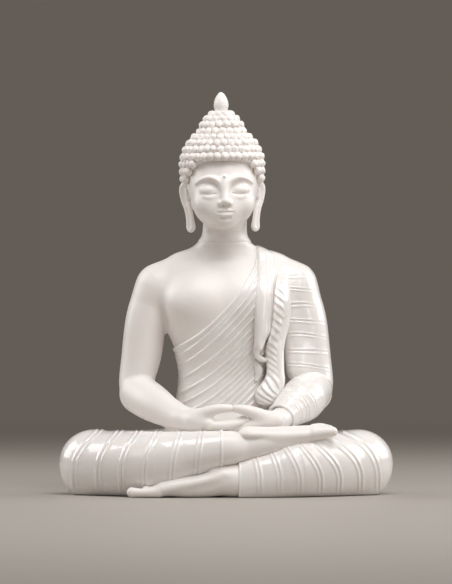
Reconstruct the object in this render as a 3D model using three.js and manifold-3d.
// A seated figure in meditation, in hollow slip-cast white porcelain.
// It is built as the real one is: separate castings and hand-made sprigs, each luted to
// its neighbours before the firing, with pegs where a piece plugs into another.
// Millimetres, +Z up. The figure faces -Y, and "right" and "left" are the figure's own,
// so its right hand is at -X. The origin is the middle of the footprint, on the table.

import * as THREE from "three";
import { ConvexGeometry } from "three/addons/geometries/ConvexGeometry.js";
import { mergeVertices } from "three/addons/utils/BufferGeometryUtils.js";
import Module from "manifold-3d";

// Driving dimensions
const KNEE_REACH = 131; // from the middle plane to the outside of each knee
const HALF_DEPTH = 86; // from the origin to the front of the shins, and to the back of the seat
const WALL = 5; // thickness of the slip castings
const LUTE = 0.4; // slip joint between two pieces
const ROBE = 2.2; // thickness of one layer of robe
const SASH = 3.2; // thickness of the folded sash over the robe
const KNEE_RADIUS = 27;
const FOOT_RIM = 4; // how far the foot rim reaches in past the wall
const VENT_RADIUS = 6; // firing vent in the base
const PEG_CLEARANCE = 0.5; // radial room round a peg in its socket
const CURL_RADIUS = 3.1;
const CURL_PITCH = 6.3;
const ELBOW_PEG = 6; // radii of the pegs that join castings
const WRIST_PEG = 4;
const FINIAL_PEG = 2.2; // radius of the finial's peg

// The head turns a little about the top of the neck.
const HEAD_PIVOT = new THREE.Vector3(-1.8, 2, 205);
const HEAD_PITCH = THREE.MathUtils.degToRad(3);
const HEAD_ROLL = THREE.MathUtils.degToRad(-1);
const HEAD_YAW = THREE.MathUtils.degToRad(3);

const SKIN = { color: 0xefeae6, roughness: 0.42, metalness: 0 };
const GLAZE = { color: 0xf1edea, roughness: 0.12, metalness: 0 };
const BISCUIT = { color: 0xe3dbd0, roughness: 0.9, metalness: 0 };

const wasm = await Module();
wasm.setup();

// ---------------------------------------------------------------- solids

// A closed three.js geometry as a solid that can be joined and cut.
function solid(geometry) {
  const bare = new THREE.BufferGeometry();
  bare.setAttribute("position", geometry.getAttribute("position"));
  if (geometry.index) bare.setIndex(geometry.index);
  const merged = mergeVertices(bare, 1e-4);
  return new wasm.Manifold(
    new wasm.Mesh({
      numProp: 3,
      vertProperties: Float32Array.from(merged.attributes.position.array),
      triVerts: Uint32Array.from(merged.index.array),
    }),
  );
}

// A solid back as a geometry.
function geometryOf(made) {
  const mesh = made.getMesh();
  const position = new Float32Array(mesh.numVert * 3);
  for (let i = 0; i < mesh.numVert; i++)
    position.set(mesh.vertProperties.subarray(i * mesh.numProp, i * mesh.numProp + 3), i * 3);
  const geometry = new THREE.BufferGeometry();
  geometry.setAttribute("position", new THREE.BufferAttribute(position, 3));
  geometry.setIndex(new THREE.BufferAttribute(new Uint32Array(mesh.triVerts), 1));
  return geometry;
}

// The biggest single body of a solid, without the slivers that a cut can leave.
function biggest(made) {
  return made.decompose().reduce((a, b) => (b.volume() > a.volume() ? b : a));
}

// The solid with its surface moved out along its normals.
function swollen(made, by) {
  const geometry = geometryOf(made);
  geometry.computeVertexNormals();
  const { position, normal } = geometry.attributes;
  for (let i = 0; i < position.count; i++)
    position.setXYZ(
      i,
      position.getX(i) + by * normal.getX(i),
      position.getY(i) + by * normal.getY(i),
      position.getZ(i) + by * normal.getZ(i),
    );
  return solid(geometry);
}

// ---------------------------------------------------------------- shapes

// Every vertex of a geometry sent to a new place by a function.
function warp(geometry, place) {
  const position = geometry.attributes.position;
  const p = new THREE.Vector3();
  for (let i = 0; i < position.count; i++) {
    p.fromBufferAttribute(position, i);
    const q = place(p);
    position.setXYZ(i, q.x, q.y, q.z);
  }
  return geometry;
}

// A smooth value along a list, t from 0 to 1.
function along(values, t) {
  const s = THREE.MathUtils.clamp(t, 0, 1) * (values.length - 1);
  const i = Math.min(Math.floor(s), values.length - 2);
  const at = (k) => values[THREE.MathUtils.clamp(k, 0, values.length - 1)];
  const [a, b, c, d] = [at(i - 1), at(i), at(i + 1), at(i + 2)];
  const f = s - i;
  const bend = 2 * a - 5 * b + 4 * c - d + (3 * b - a - 3 * c + d) * f;
  return b + 0.5 * f * (c - a + f * bend);
}

// A round-ended limb through stations [x, y, z, radius]. Its section is a circle, drawn in by
// flat along the direction "thin".
function limb(stations, { grow = 0, sides = 12, steps = 6, flat = 1, thin = [0, 1, 0] } = {}) {
  const path = new THREE.CatmullRomCurve3(stations.map(([x, y, z]) => new THREE.Vector3(x, y, z)));
  const radii = stations.map((s) => s[3]);
  const thinWay = new THREE.Vector3(...thin);
  const capsule = new THREE.CapsuleGeometry(1, 1, 2, sides, steps);
  return solid(
    warp(capsule, (p) => {
      const t = THREE.MathUtils.clamp(p.y + 0.5, 0, 1);
      const overhang = p.y + 0.5 - t;
      const tangent = path.getTangent(t);
      const side = new THREE.Vector3().crossVectors(thinWay, tangent).normalize();
      const depth = new THREE.Vector3().crossVectors(tangent, side);
      const r = along(radii, t) + grow;
      return path
        .getPoint(t)
        .addScaledVector(side, p.z * r)
        .addScaledVector(depth, p.x * (r * flat + grow * (1 - flat)))
        .addScaledVector(tangent, overhang * r);
    }),
  );
}

// A stack of rounded sections [z, x, y, half width, half depth], from the lowest up.
function loft(sections, { grow = 0, sides = 24, steps = 10, power = 2.3, rise = grow } = {}) {
  const column = (k) => sections.map((s) => s[k]);
  const [z, x, y, a, b] = [0, 1, 2, 3, 4].map(column);
  return solid(
    warp(new THREE.CylinderGeometry(1, 1, 1, sides, steps), (p) => {
      const t = p.y + 0.5;
      const angle = Math.atan2(p.z, p.x);
      const rim = Math.hypot(p.x, p.z) > 0.5 ? 1 : 0;
      const [c, s] = [Math.cos(angle), Math.sin(angle)];
      const stretch = rim * Math.pow(Math.abs(c) ** power + Math.abs(s) ** power, -1 / power);
      return new THREE.Vector3(
        along(x, t) + stretch * c * (along(a, t) + grow),
        along(y, t) - stretch * s * (along(b, t) + grow),
        along(z, t) + (t > 0.999 ? rise : t < 0.001 ? -rise : 0),
      );
    }),
  );
}

function ellipsoid([x, y, z], [a, b, c], sides = 16, rings = 10) {
  const ball = new THREE.SphereGeometry(1, sides, rings).rotateX(Math.PI / 2);
  return solid(ball.scale(a, b, c).translate(x, y, z));
}

// A straight round bar between two points.
function bar(from, to, radius, sides = 12) {
  const [a, b] = [new THREE.Vector3(...from), new THREE.Vector3(...to)];
  const turn = new THREE.Quaternion().setFromUnitVectors(
    new THREE.Vector3(0, 1, 0),
    b.clone().sub(a).normalize(),
  );
  const geometry = new THREE.CylinderGeometry(radius, radius, a.distanceTo(b), sides);
  const middle = a.add(b).multiplyScalar(0.5);
  return solid(geometry.applyQuaternion(turn).translate(middle.x, middle.y, middle.z));
}

// The convex skin round a few balls [x, y, z, radius], as a finger or a nose is.
function taper(...balls) {
  const points = [];
  for (const [x, y, z, r] of balls) {
    const ball = new THREE.IcosahedronGeometry(r, 0).translate(x, y, z).attributes.position;
    for (let i = 0; i < ball.count; i++) points.push(new THREE.Vector3().fromBufferAttribute(ball, i));
  }
  return solid(new ConvexGeometry(points));
}

// A prism along Y over an outline of [x, z] points joined by a smooth closed curve, from y0 to y1.
function prism(outline, y0, y1, divisions = 40) {
  const points = outline.map(([x, z]) => new THREE.Vector2(x, z));
  const shape = divisions ? smoothShape(points, divisions) : new THREE.Shape(points);
  const geometry = new THREE.ExtrudeGeometry(shape, { depth: y1 - y0, bevelEnabled: false });
  return solid(geometry.rotateX(Math.PI / 2).translate(0, y1, 0));
}

function smoothShape(points, divisions) {
  const ring = new THREE.CatmullRomCurve3(
    points.map((p) => new THREE.Vector3(p.x, p.y, 0)),
    true,
  );
  const round = ring.getPoints(divisions).slice(0, -1);
  return new THREE.Shape(round.map((p) => new THREE.Vector2(p.x, p.y)));
}

function box([x0, y0, z0], [x1, y1, z1]) {
  const geometry = new THREE.BoxGeometry(x1 - x0, y1 - y0, z1 - z0);
  return solid(geometry.translate((x0 + x1) / 2, (y0 + y1) / 2, (z0 + z1) / 2));
}

const union = (...parts) => parts.reduce((a, b) => a.add(b));

// Mirrors stations from the figure's right side to its left.
const mirrored = (stations) => stations.map(([x, ...rest]) => [-x, ...rest]);

// ---------------------------------------------------------------- assembly

const statue = new THREE.Group();
const placed = new Map();
const aboveTable = box([-200, -200, 0], [200, 200, 400]);

// Puts a piece in the statue, cut clear of the pieces that it is luted to.
function place(name, made, finish, against = []) {
  let piece = made.intersect(aboveTable);
  for (const other of against) {
    const neighbour = placed.get(other);
    piece = piece.subtract(swollen(neighbour, LUTE)).subtract(neighbour);
  }
  piece = biggest(piece);
  placed.set(name, piece);
  const mesh = new THREE.Mesh(geometryOf(piece), new THREE.MeshStandardMaterial(finish));
  mesh.name = name;
  statue.add(mesh);
}

// ---------------------------------------------------------------- body sections

// Torso, [z, x, y, half width, half depth]
const SKIN_STEPS = 11;
const SKIN_SIDES = 20;
const TORSO = [
  [59, 0, 20, 43, 33],
  [77, 0, 18, 39, 30.5],
  [95, 0, 16, 37.5, 29],
  [113, 0, 14, 41, 31],
  [131, 0, 13, 48, 34],
  [149, 0, 13, 54, 35],
  [165, 0, 14, 58, 32],
  [178, 0, 15, 57, 27],
  [186, 0, 16, 50, 22],
  [191, 0, 16, 42, 19.5],
  [195, -0.5, 15, 29, 18],
  [200, -1, 13, 20, 17.5],
];

// Limbs, [x, y, z, radius]
const UPPER_ARM = [
  [-53.5, 15, 165, 18.5],
  [-62.5, 16, 135, 17.6],
  [-67, 17, 110, 16.2],
  [-69.5, 16, 90, 14.8],
  [-69, 13, 80, 14.5],
];
const FOREARM = [
  [-67.5, 8, 80, 15.5],
  [-58, -10, 74, 14],
  [-46, -26, 67.5, 11.5],
  [-35, -38, 63, 9],
];
const SLEEVE_FOREARM = [
  [67.5, 8, 83, 17],
  [59, -10, 77, 16.5],
  [50, -24, 69.5, 13.5],
  [43, -34, 64.5, 11],
];

// Seat, hollow below
const SEAT = [
  [0, 0, HALF_DEPTH - 54, 65, 52],
  [14, 0, HALF_DEPTH - 55, 69, 55],
  [30, 0, HALF_DEPTH - 57, 65, 53],
  [44, 0, 26, 56, 46],
  [54, 0, 22, 47, 38],
  [58.5, 0, 20, 42, 33.5],
];

// Legs. The right shin lies on top of the left.
const KNEE_X = KNEE_REACH - KNEE_RADIUS;
const THIGH = [
  [-40, 34, 30, 27],
  [-72, 8, 28.5, 27.5],
  [-KNEE_X, -24, 26.5, KNEE_RADIUS],
];
const RIGHT_SHIN = [
  [-KNEE_X, -24, 26.5, KNEE_RADIUS],
  [-60, -59, 28, 24.5],
  [-28, -68.5, 33, 18.5],
  [-3, -71.5, 37.5, 14.2],
];
const LEFT_SHIN = [
  [KNEE_X, -24, 26.5, KNEE_RADIUS],
  [62, -58, 25, 24],
  [34, -68, 18, 17.5],
  [11, -71.7, 12, 13.3],
];
const RIGHT_FOOT = [
  [-8, -71, 38, 10.5],
  [14, -71, 41, 10.5],
  [36, -68, 44.5, 9.6],
  [60, -64, 49, 7.6],
  [79, -61, 52.5, 5],
];
const LEFT_FOOT = [
  [16, -72.5, 11, 10],
  [-6, -75, 12.5, 11],
  [-27, -76.5, 10.5, 9.2],
  [-51, -77, 8, 7.6],
  [-69.5, -76, 5.5, 5],
];

// ---------------------------------------------------------------- castings

function seatShell() {
  const inside = loft(SEAT, { grow: -WALL, rise: -WALL, steps: 4, sides: 16 });
  const low = box([-99, -99, -5], [99, 99, 20]);
  const mouth = loft(SEAT, { grow: -WALL - FOOT_RIM, rise: 3, steps: 3, sides: 20 }).intersect(low);
  const high = box([-99, -99, 40], [99, 99, 70]);
  const throat = loft(TORSO, { grow: -WALL - 3, rise: 12, steps: 3, sides: 16 }).intersect(high);
  return loft(SEAT, { steps: 6, sides: 24, rise: 0 }).subtract(union(inside, mouth, throat));
}

// The closing disc of the base, set up inside the foot rim, with the firing vent through it.
function baseDisc() {
  const [lowest, highest] = [1.5, 6.5];
  const plan = loft(SEAT, { grow: -WALL - FOOT_RIM - 2 * LUTE, rise: 3, steps: 3, sides: 20 });
  const slab = plan.intersect(box([-99, -99, lowest], [99, 99, highest]));
  const middleY = HALF_DEPTH - 55;
  return slab.subtract(bar([0, middleY, lowest - 5], [0, middleY, highest + 5], VENT_RADIUS, 24));
}

// Thigh and shin in one casting, hollow, with its opening at the hip.
function leg(thigh, shin) {
  const skin = (grow, sides) =>
    union(limb(thigh, { grow, steps: 2, sides }), limb(shin, { grow, steps: 4, sides }));
  const [hipX, hipY, hipZ] = thigh[0];
  const opening = bar([hipX * 0.2, hipY, hipZ], [hipX, hipY, hipZ], KNEE_RADIUS - 2 * WALL, 10);
  const floor = box([-200, -200, WALL], [200, 200, 100]);
  return skin(0, 12).subtract(skin(-WALL, 8).intersect(floor)).subtract(opening);
}

// Robe gathered in the lap, between the thighs and the shins.
const LAP = [
  [0, 0, -36, 60, 30],
  [20, 0, -36, 66, 34],
  [38, 0, -36, 62, 32],
  [47, 0, -36, 48, 24],
  [50, 0, -36, 34, 15],
];
function lapDrape() {
  return loft(LAP, { steps: 4, sides: 16, power: 2 });
}

// Chest, bare right shoulder and bare right upper arm, cast in one.
function torsoShell() {
  const outside = union(
    loft(TORSO, { steps: SKIN_STEPS, sides: SKIN_SIDES, rise: 0 }),
    limb(UPPER_ARM, { steps: 5 }),
    ellipsoid([50, 15, 168], [16, 14, 13], 12, 8),
  );
  const inside = loft(TORSO, { grow: -WALL, rise: 0, steps: 6, sides: 16 });
  const [x, y, z] = UPPER_ARM.at(-1);
  const elbowSocket = bar([x + 2, y - 2, z - 25], [x - 0.8, y + 0.8, z + 6], ELBOW_PEG + PEG_CLEARANCE, 10);
  const neckHole = bar([-1, 13, 170], [-1, 13, 220], 12 + PEG_CLEARANCE, 20);
  return outside.subtract(union(inside, elbowSocket, neckHole));
}

// ---------------------------------------------------------------- robe layers

// What lies between two heights over the torso's skin, inside an outline drawn from the front.
function layer(outline, from, to, y0, y1, divisions = 40) {
  const skin = (grow) => loft(TORSO, { grow, steps: SKIN_STEPS, sides: SKIN_SIDES });
  return skin(to).intersect(prism(outline, y0, y1, divisions)).subtract(skin(from));
}

// The pleated robe: from the right waist up over the left shoulder, front and back.
const ROBE_EDGE = [
  [-80, 106], [-52, 112], [-41, 116.5], [-24, 125.5], [-10, 137],
  [8, 156], [18, 172], [24, 186], [27, 215],
];
function chestRobe() {
  const edge = new THREE.SplineCurve(ROBE_EDGE.map(([x, z]) => new THREE.Vector2(x, z)));
  const outline = [...edge.getPoints(8).map((p) => [p.x, p.y]), [90, 215], [90, 50], [-80, 50]];
  return layer(outline, 2 * LUTE, ROBE, -60, 80, 0);
}

// The folded sash: a band over the left shoulder, down the chest and down the back.
const SASH_EDGE = { inner: 21.5, outer: 36.5, low: 121 };
function shoulderSash() {
  const { inner, outer, low } = SASH_EDGE;
  const tip = [[inner, low + 12], [inner + 5, low + 1], [inner + 10, low - 3], [outer, low + 8]];
  const outline = [[inner, 215], ...tip, [outer, 215]];
  return layer(outline, ROBE + 2 * LUTE, ROBE + SASH, -60, 80, 0);
}

// The robe's frilled hem, which falls in a long wave beside the sash, in front of the left arm.
const FRILL = [
  [44, 176], [50, 170], [53, 155], [51, 138], [46, 122], [45, 108], [46, 92], [42, 76],
  [30, 71], [22, 78], [24, 88], [32, 98], [34, 108], [32, 116], [37.2, 128], [37.2, 150], [37.2, 172],
];
function robeFrill() {
  const bodyOut = union(loft(TORSO, { grow: ROBE + 7, steps: 8 }), limb(LEFT_UPPER, { grow: 3, steps: 5 }));
  return bodyOut.intersect(prism(FRILL, -60, 8, 30));
}

const LEFT_UPPER = mirrored(UPPER_ARM).map(([x, y, z, r]) => [x, y, z, r + 1]);

// The peg at the end of a forearm that a hand is luted on by, and with more radius its socket.
function wristPeg(stations, grow = 0) {
  const [[x0, y0, z0], [x1, y1, z1]] = stations.slice(-2);
  const share = 0.45;
  const reach = [(x1 - x0) * share, (y1 - y0) * share, (z1 - z0) * share];
  const deep = [x1 - reach[0], y1 - reach[1], z1 - reach[2]];
  return bar(deep, [x1 + reach[0], y1 + reach[1], z1 + reach[2]], WRIST_PEG + grow, 8);
}

// Bare forearm, with the peg that plugs into the upper arm.
function rightForearm() {
  const [x, y, z] = UPPER_ARM.at(-1);
  const peg = bar([x, y, z - 6], [x - 0.8, y + 0.8, z + 5], ELBOW_PEG, 10);
  return union(limb(FOREARM, { steps: 5 }), peg).subtract(wristPeg(FOREARM, PEG_CLEARANCE));
}

function cuffRing() {
  const [x, y, z, r] = SLEEVE_FOREARM.at(-1);
  const back = SLEEVE_FOREARM.at(-2);
  const way = new THREE.Vector3(x - back[0], y - back[1], z - back[2]).normalize();
  const geometry = new THREE.TorusGeometry(r - 0.5, 2, 5, 18);
  const turn = new THREE.Quaternion().setFromUnitVectors(new THREE.Vector3(0, 0, 1), way);
  const at = new THREE.Vector3(x, y, z).addScaledVector(way, 6);
  return solid(geometry.applyQuaternion(turn).translate(at.x, at.y, at.z));
}

// A raised hem round a shin, where the bare ankle comes out.
function hemRing(shin, radius) {
  const [x, y, z] = shin.at(-1);
  const geometry = new THREE.TorusGeometry(radius, 1.3, 5, 20).rotateY(Math.PI / 2);
  return solid(geometry.translate(x, y, z));
}

// ---------------------------------------------------------------- hands and feet

const FINGER_COUNT = 4;

// A palm-up hand in the lap. way is +1 for the right hand, whose fingers point to +X.
function hand(wrist, palm, tip, way) {
  const fingers = [];
  for (let i = 0; i < FINGER_COUNT; i++) {
    const y = palm[1] + (i - 1.3) * 5.2;
    const short = i === 3 ? 6 : i === 0 ? 3 : 0;
    const knuckle = [palm[0] + way * 9, y, palm[2] - 0.5, 3];
    const bend = [(palm[0] + tip[0]) / 2 + way * 8, y, tip[2] - 1.5, 2.8];
    fingers.push(taper(knuckle, bend), taper(bend, [tip[0] - way * short, y, tip[2], 2.4]));
  }
  const [x, y, z] = palm;
  const nearThumb = [x + way * 8, y - 5, z, 4.2];
  const nearLittle = [x + way * 8, y + 8, z, 4.2];
  const heel = taper([...wrist, 7.5], [x - way * 6, y - 2, z + 0.5, 6.5], nearThumb, nearLittle);
  return union(heel, ...fingers);
}

const RIGHT_HAND = { wrist: [-29, -42, 62.5], palm: [-14, -48, 59.5], tip: [26, -48, 61.5] };
const LEFT_HAND = { wrist: [38, -42, 61.5], palm: [27, -50, 57], tip: [-10, -52, 54] };
const RIGHT_THUMB = [
  [-22, -56, 64.5, 4.6],
  [-12, -60, 69.5, 4.2],
  [-3, -60, 72.3, 3.3],
  [2.6, -59, 72.8, 2.5],
];
const LEFT_THUMB = [
  [33, -55, 64, 4.8],
  [23, -59, 69.5, 4.4],
  [13, -60, 72.3, 3.4],
  [7, -59, 72.8, 2.5],
];

// A foot along stations, with its five toes spread across "across" at its end.
function foot(stations, across, toeWay, options) {
  const [x, y, z] = stations.at(-1);
  const toes = [0, 1, 2, 3, 4].map((i) => {
    const spread = (i - 1.5) * 4.6;
    const root = [x - toeWay[0] * 5 + across[0] * spread, y + across[1] * spread, z + across[2] * spread];
    const length = i === 0 ? 11 : 10 - i * 1.4;
    const tip = [root[0] + toeWay[0] * length, root[1], root[2] + toeWay[2] * length];
    return taper([...root, 3.2], [...tip, i === 0 ? 3 : 2.3]);
  });
  return union(limb(stations, { steps: 5, sides: 12, ...options }), ...toes);
}

// ---------------------------------------------------------------- head, in its own upright space

// Half width, half depth and middle of the skull at the height of each row of curls.
const HAIR_ROWS = [
  { z: 303.7, a: 7.9 },
  { z: 299.3, a: 12.2 },
  { z: 293.9, a: 15.3 },
  { z: 288, a: 17.4 },
  { z: 283.3, a: 21.7 },
  { z: 278.6, a: 26 },
  { z: 273, a: 29 },
  { z: 267, a: 30.8 },
];
// Lower rows stop at the temples: angle from the front, in degrees, where the hair begins.
const NAPE_ROWS = [
  { z: 260.8, a: 31.2, from: 54 },
  { z: 254.5, a: 31, from: 72 },
  { z: 248.2, a: 30.2, from: 98 },
  { z: 242, a: 28.4, from: 104 },
  { z: 236, a: 26, from: 112 },
  { z: 230.4, a: 23, from: 122 },
];
const ROW_MIDDLE_Y = 3.5; // the middle of the skull's rows
const BUMP_MIDDLE_Y = 5; // and of the rows on the cranial bump
const BUMP_FOOT = 285; // rows above this height are on the bump
const SKULL_STRETCH = 1.13; // the skull is longer than it is wide

function posedHead(made) {
  const turn = new THREE.Matrix4();
  turn.makeRotationFromEuler(new THREE.Euler(HEAD_PITCH, HEAD_ROLL, HEAD_YAW, "ZXY"));
  const lift = new THREE.Matrix4().makeTranslation(HEAD_PIVOT);
  const drop = new THREE.Matrix4().makeTranslation(0, -HEAD_PIVOT.y, -HEAD_PIVOT.z);
  return solid(geometryOf(made).applyMatrix4(lift.multiply(turn).multiply(drop)));
}

// Skull, face and neck in one casting, hollow, with a collar that plugs into the torso.
function headShell() {
  const under = [...HAIR_ROWS.filter((r) => r.z < BUMP_FOOT), ...NAPE_ROWS];
  const profile = under.map(({ z, a }) => new THREE.Vector2(a - CURL_RADIUS - LUTE, z));
  const closed = [new THREE.Vector2(0, 224), ...profile.reverse(), new THREE.Vector2(0, 284)];
  const cap = new THREE.LatheGeometry(closed, 18).rotateX(Math.PI / 2).scale(1, SKULL_STRETCH, 1);
  const skull = solid(cap).translate(0, ROW_MIDDLE_Y, 0);
  const face = ellipsoid([0, -6.5, 243.5], [27, 28, 31], 18, 12);
  const neck = bar([0, 9, 200.6], [0, 3, 235], 17.6, 18);
  const bridge = [0, -33.5, 247, 1.8];
  const wings = [-1, 1].map((s) => [s * 4.2, -34.5, 232, 2.2]);
  const nose = taper(bridge, [0, -39, 233.5, 2.6], ...wings);
  const eyes = [-1, 1].map((s) => ellipsoid([s * 11.5, -28, 242.5], [7, 5, 4.4], 10, 6));
  const upperLip = ellipsoid([0, -32.6, 226], [7.5, 3, 1.8], 10, 6);
  const lowerLip = ellipsoid([0, -31.6, 223], [6, 3, 1.9], 10, 6);
  const hollow = ellipsoid([0, -1, 252], [20, 24, 26], 12, 8);
  const bore = bar([0, 9, 180], [0, 3, 236], 9, 12);
  const collar = bar([0.8, 11, 190], [0.5, 10.5, 205], 12, 20);
  return union(skull, face, neck, nose, collar, ...eyes, upperLip, lowerLip).subtract(union(hollow, bore));
}

// Cranial bump, hollow, which closes the pouring hole in the skull.
const BUMP_PROFILE = [
  [0, 284.4],
  [13.6, 284.4],
  [13.4, 288],
  [11.4, 293.9],
  [8.4, 299.3],
  [4.2, 302.4],
  [0, 302.6],
];
function crownBump() {
  const profile = BUMP_PROFILE.map(([r, z]) => new THREE.Vector2(r, z));
  const outside = turned(profile, 16);
  const middle = outside.translate(0, -BUMP_MIDDLE_Y, -BUMP_FOOT);
  const inside = middle.scale([0.68, 0.68, 0.68]).translate(0, BUMP_MIDDLE_Y, BUMP_FOOT + 2.6);
  const pegHole = bar([0, BUMP_MIDDLE_Y, 290], [0, BUMP_MIDDLE_Y, 310], FINIAL_PEG + PEG_CLEARANCE, 10);
  return outside.subtract(inside).subtract(pegHole);
}

// A solid of revolution about the upright line through the middle of the bump.
function turned(profile, sides) {
  const geometry = new THREE.LatheGeometry(profile, sides).rotateX(Math.PI / 2);
  return solid(geometry.translate(0, BUMP_MIDDLE_Y, 0));
}

// Lotus-bud finial with the peg that plugs into the crown.
const PEG_PROFILE = [[0, 296.5], [FINIAL_PEG, 296.5], [FINIAL_PEG, 303]];
const BUD_PROFILE = [[4.2, 303], [5.6, 307], [5.9, 310], [5, 313.8], [3.1, 317.4], [1.4, 319.3], [0, 320]];
function finial() {
  const profile = [...PEG_PROFILE, ...BUD_PROFILE].map(([r, z]) => new THREE.Vector2(r, z));
  return turned(profile, 14);
}

// Where a row of curls runs: a point on it at an angle from the front.
function onRow({ z, a }, angle) {
  const middleY = z > BUMP_FOOT ? BUMP_MIDDLE_Y : ROW_MIDDLE_Y;
  const depth = z > BUMP_FOOT ? a : a * SKULL_STRETCH;
  return new THREE.Vector3(a * Math.sin(angle), middleY - depth * Math.cos(angle), z);
}

// A ring of curls all the way round, or an arc of them round the back from temple to temple.
function curlRow(row) {
  const start = THREE.MathUtils.degToRad(row.from ?? 0);
  const sweep = 2 * (Math.PI - start);
  const middleRadius = (row.a * (1 + SKULL_STRETCH)) / 2;
  const count = Math.max(6, Math.round((sweep * middleRadius) / CURL_PITCH));
  const swell = (share) => CURL_RADIUS * (0.8 + 0.2 * Math.cos(2 * Math.PI * share * count));
  const tube = row.from
    ? new THREE.CylinderGeometry(1, 1, 1, 4, 2 * count).rotateZ(Math.PI)
    : new THREE.TorusGeometry(1, 0.4, 4, 2 * count);
  return solid(
    warp(tube, (p) => {
      const share = row.from ? p.y + 0.5 : (Math.atan2(p.y, p.x) / (2 * Math.PI) + 1) % 1;
      const ringR = row.from ? 0 : Math.hypot(p.x, p.y);
      const [out, up] = row.from ? [p.x, p.z] : [(ringR - 1) / 0.4, p.z / 0.4];
      const angle = start + share * sweep;
      const middle = onRow(row, angle);
      const away = new THREE.Vector3(Math.sin(angle), -Math.cos(angle), 0);
      const r = swell(share);
      return middle.addScaledVector(away, out * r).setZ(middle.z + up * r);
    }),
  );
}

// A long-lobed ear at the side of the head. side is -1 for the right ear.
function ear(side) {
  const rim = [[0, 0, 252], [0, 3, 244], [0, 2, 234], [0, 0.5, 224], [0, 0, 213]];
  const radii = [5, 6.6, 5, 4.2, 4.4];
  const lean = (z) => 25 + (z - 213) * 0.18;
  const stations = rim.map(([, y, z], i) => [side * lean(z), y + 1, z, radii[i]]);
  return limb(stations, { sides: 8, steps: 5, flat: 0.42, thin: [1, 0, 0] });
}

// ---------------------------------------------------------------- putting it together

const LEGS = ["left_leg", "right_leg"];
const HEMS = ["left_hem", "right_hem"];
place("seat_shell", seatShell(), GLAZE);
place("base_disc", baseDisc(), BISCUIT, ["seat_shell"]);
place("left_leg", leg(mirrored(THIGH), LEFT_SHIN), GLAZE, ["seat_shell"]);
place("right_leg", leg(THIGH, RIGHT_SHIN), GLAZE, ["seat_shell", "left_leg"]);
place("lap_drape", lapDrape(), GLAZE, ["seat_shell", ...LEGS]);
place("left_hem", hemRing(LEFT_SHIN, 13), GLAZE, [...LEGS, "lap_drape"]);
place("right_hem", hemRing(RIGHT_SHIN, 14), GLAZE, [...LEGS, "lap_drape", "left_hem"]);
const leftFoot = foot(LEFT_FOOT, [0, 1, 0.12], [-1, 0, -0.12], { flat: 0.9 });
place("left_foot", leftFoot, SKIN, [...LEGS, ...HEMS, "lap_drape"]);
const rightFoot = foot(RIGHT_FOOT, [0.1, 0.75, 0.6], [1, 0, 0.12], { flat: 0.85 });
place("right_foot", rightFoot, SKIN, [...LEGS, ...HEMS, "left_foot", "lap_drape"]);

place("torso_shell", torsoShell(), SKIN, ["seat_shell", ...LEGS]);
place("chest_robe", chestRobe(), GLAZE, ["torso_shell", "seat_shell", ...LEGS]);
place("shoulder_sash", shoulderSash(), GLAZE, ["torso_shell", "chest_robe"]);
const robed = ["torso_shell", "chest_robe", "shoulder_sash"];
place("left_sleeve_upper", limb(LEFT_UPPER, { steps: 5 }), GLAZE, robed);
place("robe_frill", robeFrill(), GLAZE, [...robed, "left_sleeve_upper", "seat_shell"]);

place("right_forearm", rightForearm(), SKIN, ["torso_shell", ...LEGS, "chest_robe"]);
const sleeve = limb(SLEEVE_FOREARM, { steps: 5 });
const sleeveNeighbours = ["left_sleeve_upper", ...LEGS, "chest_robe", "robe_frill", "torso_shell"];
const leftSocket = wristPeg(SLEEVE_FOREARM, PEG_CLEARANCE);
place("left_sleeve_forearm", sleeve.subtract(leftSocket), GLAZE, sleeveNeighbours);
place("left_cuff", cuffRing(), GLAZE, ["left_sleeve_forearm", "left_leg"]);

const lap = [...LEGS, ...HEMS, "left_foot", "right_foot", "lap_drape", "chest_robe", "robe_frill"];
const leftPalm = hand(LEFT_HAND.wrist, LEFT_HAND.palm, LEFT_HAND.tip, -1);
const leftHand = union(leftPalm, wristPeg(SLEEVE_FOREARM));
place("left_hand", leftHand, SKIN, [...lap, "left_sleeve_forearm", "left_cuff"]);
const rightPalm = hand(RIGHT_HAND.wrist, RIGHT_HAND.palm, RIGHT_HAND.tip, 1);
const rightHand = union(rightPalm, wristPeg(FOREARM));
place("right_hand", rightHand, SKIN, [...lap, "right_forearm", "left_hand"]);
const thumb = { sides: 8, steps: 4 };
place("right_thumb", limb(RIGHT_THUMB, thumb), SKIN, ["right_hand", "left_hand"]);
place("left_thumb", limb(LEFT_THUMB, thumb), SKIN, ["left_hand", "right_hand", "left_cuff", "right_thumb"]);

place("head_shell", posedHead(headShell()), SKIN, ["torso_shell", "shoulder_sash", "chest_robe"]);
place("crown_bump", posedHead(crownBump()), SKIN, ["head_shell"]);
place("finial", posedHead(finial()), SKIN, ["crown_bump"]);
place("brow_dot", posedHead(ellipsoid([0, -33.2, 249.5], [1.1, 1.3, 1.1], 8, 6)), SKIN, ["head_shell"]);
[...HAIR_ROWS, ...NAPE_ROWS].forEach((row, i) => {
  const name = "curl_row_" + String(i + 1).padStart(2, "0");
  place(name, posedHead(curlRow(row)), SKIN);
});
const rows = [...placed.keys()].filter((n) => n.startsWith("curl_row_1"));
place("right_ear", posedHead(ear(-1)), SKIN, ["head_shell", ...rows, "curl_row_09"]);
place("left_ear", posedHead(ear(1)), SKIN, ["head_shell", ...rows, "curl_row_09"]);

export default statue;
